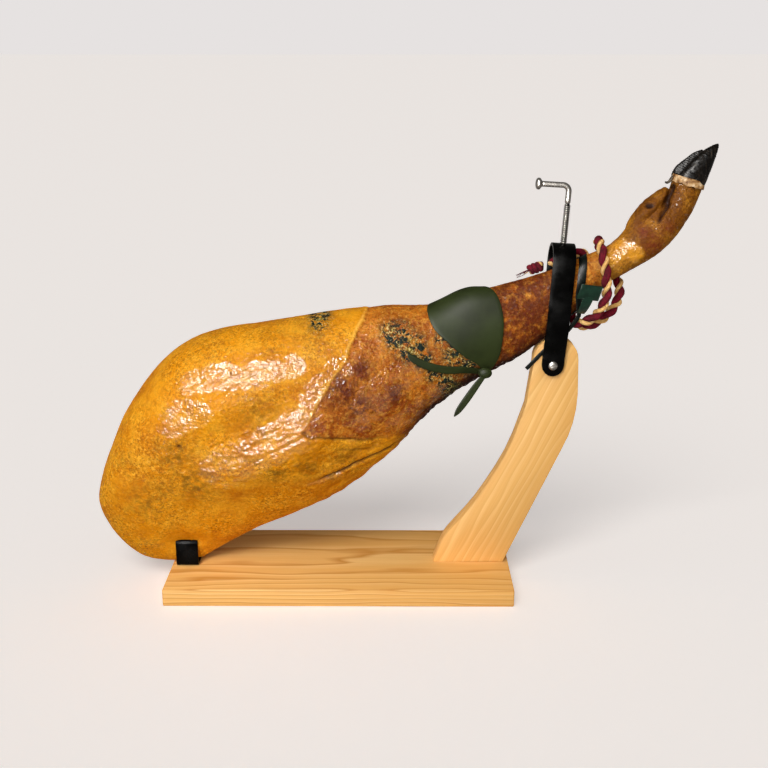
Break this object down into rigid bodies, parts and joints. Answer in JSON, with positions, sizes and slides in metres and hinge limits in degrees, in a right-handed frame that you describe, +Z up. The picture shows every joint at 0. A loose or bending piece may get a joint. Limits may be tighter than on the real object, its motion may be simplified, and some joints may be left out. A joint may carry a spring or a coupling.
{
  "type": "cured ham on a carving stand",
  "caption": "Whole cured leg of ham with its hoof, lying on a wooden carving stand with a tilting steel hoop and a clamp bolt.",
  "frame": {"origin": "centre of the board's underside, on the surface that the stand rests on", "axes": "+X along the board and the ham towards the hoof, +Z up, the ham lies in the XZ plane and -Y is its front"},
  "size_m": [0.6672, 0.16, 0.493],
  "materials": {
    "cured_skin": "satin, oily",
    "horn": "polished with scuffs",
    "pine": "sanded, bare",
    "black_steel": "glossy enamel",
    "zinc_steel": "zinc plated",
    "green_card": "coated card, satin",
    "cotton": "twisted cotton",
    "green_plastic": "moulded"
  },
  "bodies": {
    "root": {"ham": "cured_skin", "hoof_near": "horn", "hoof_far": "horn", "board": "pine", "arm": "pine", "hoop_screw_front": "zinc_steel", "hoop_screw_back": "zinc_steel", "bracket": "black_steel", "label": "green_card", "rope": "cotton", "rope_knot": "cotton", "seal_tag": "green_plastic", "seal_strap": "green_plastic"},
    "hoop": {"hoop": "black_steel"},
    "bolt_foot": {"bolt_foot": "zinc_steel"},
    "clamp_bolt": {"clamp_bolt": "zinc_steel"}
  },
  "joints": [
    {"name": "hoop_tilt", "type": "hinge", "parent": "root", "child": "hoop", "pos_m": [0.233, 0, 0.256], "axis": [0, -1, 0], "range_deg": [0, 6]},
    {"name": "bolt_lift", "type": "slide", "parent": "hoop", "child": "bolt_foot", "axis": [0.0558, 0, 0.9984], "range_m": [0, 0.0123]},
    {"name": "bolt_turn", "type": "hinge", "parent": "bolt_foot", "child": "clamp_bolt", "pos_m": [0.233, 0, 0.256], "axis": [0.0558, 0, 0.9984], "range_deg": [0, 2205]}
  ],
  "couplings": [
    {"joint": "bolt_lift", "follows": "bolt_turn", "m_per_rad": 0.00031831}
  ]
}
